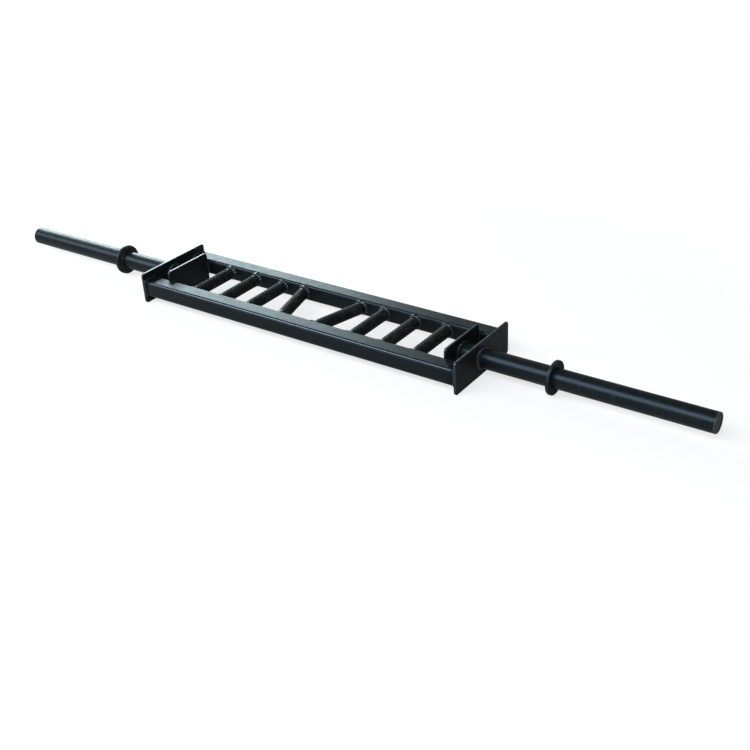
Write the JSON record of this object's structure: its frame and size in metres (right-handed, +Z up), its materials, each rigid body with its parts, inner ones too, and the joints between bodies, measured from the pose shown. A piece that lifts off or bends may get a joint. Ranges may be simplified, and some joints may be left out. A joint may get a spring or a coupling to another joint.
{
  "type": "swiss bar",
  "caption": "Multi-grip strength training bar: a welded ladder frame of straight and angled neutral grips between box-section rails, with a loading sleeve and stop collar at each end.",
  "frame": {"origin": "middle of the bar, on the floor plane that the end plates stand on", "axes": "+X along the bar towards the right-hand tip, +Y across the rails towards the rear rail, +Z up"},
  "size_m": [2.2, 0.25, 0.088],
  "materials": {
    "frame_coat": "satin black powder coat",
    "grip_coat": "black powder coat over a fine knurl",
    "cap_face": "worn satin powder coat",
    "weld_coat": "satin black powder coat over ripple welds"
  },
  "bodies": {
    "root": {"front_rail": "frame_coat", "rear_rail": "frame_coat", "left_end_plate": "frame_coat", "right_end_plate": "frame_coat", "left_inner_plate": "frame_coat", "right_inner_plate": "frame_coat", "left_grip_1": "grip_coat", "left_grip_2": "grip_coat", "left_grip_3": "grip_coat", "left_grip_4": "grip_coat", "right_grip_1": "grip_coat", "right_grip_2": "grip_coat", "right_grip_3": "grip_coat", "right_grip_4": "grip_coat", "left_sleeve": "frame_coat", "right_sleeve": "frame_coat", "left_collar": "frame_coat", "right_collar": "frame_coat", "left_sleeve_cap": "cap_face", "right_sleeve_cap": "cap_face", "rail_welds": "weld_coat", "inner_plate_welds": "weld_coat", "grip_welds": "weld_coat", "sleeve_welds": "weld_coat", "collar_welds": "weld_coat"}
  },
  "joints": []
}
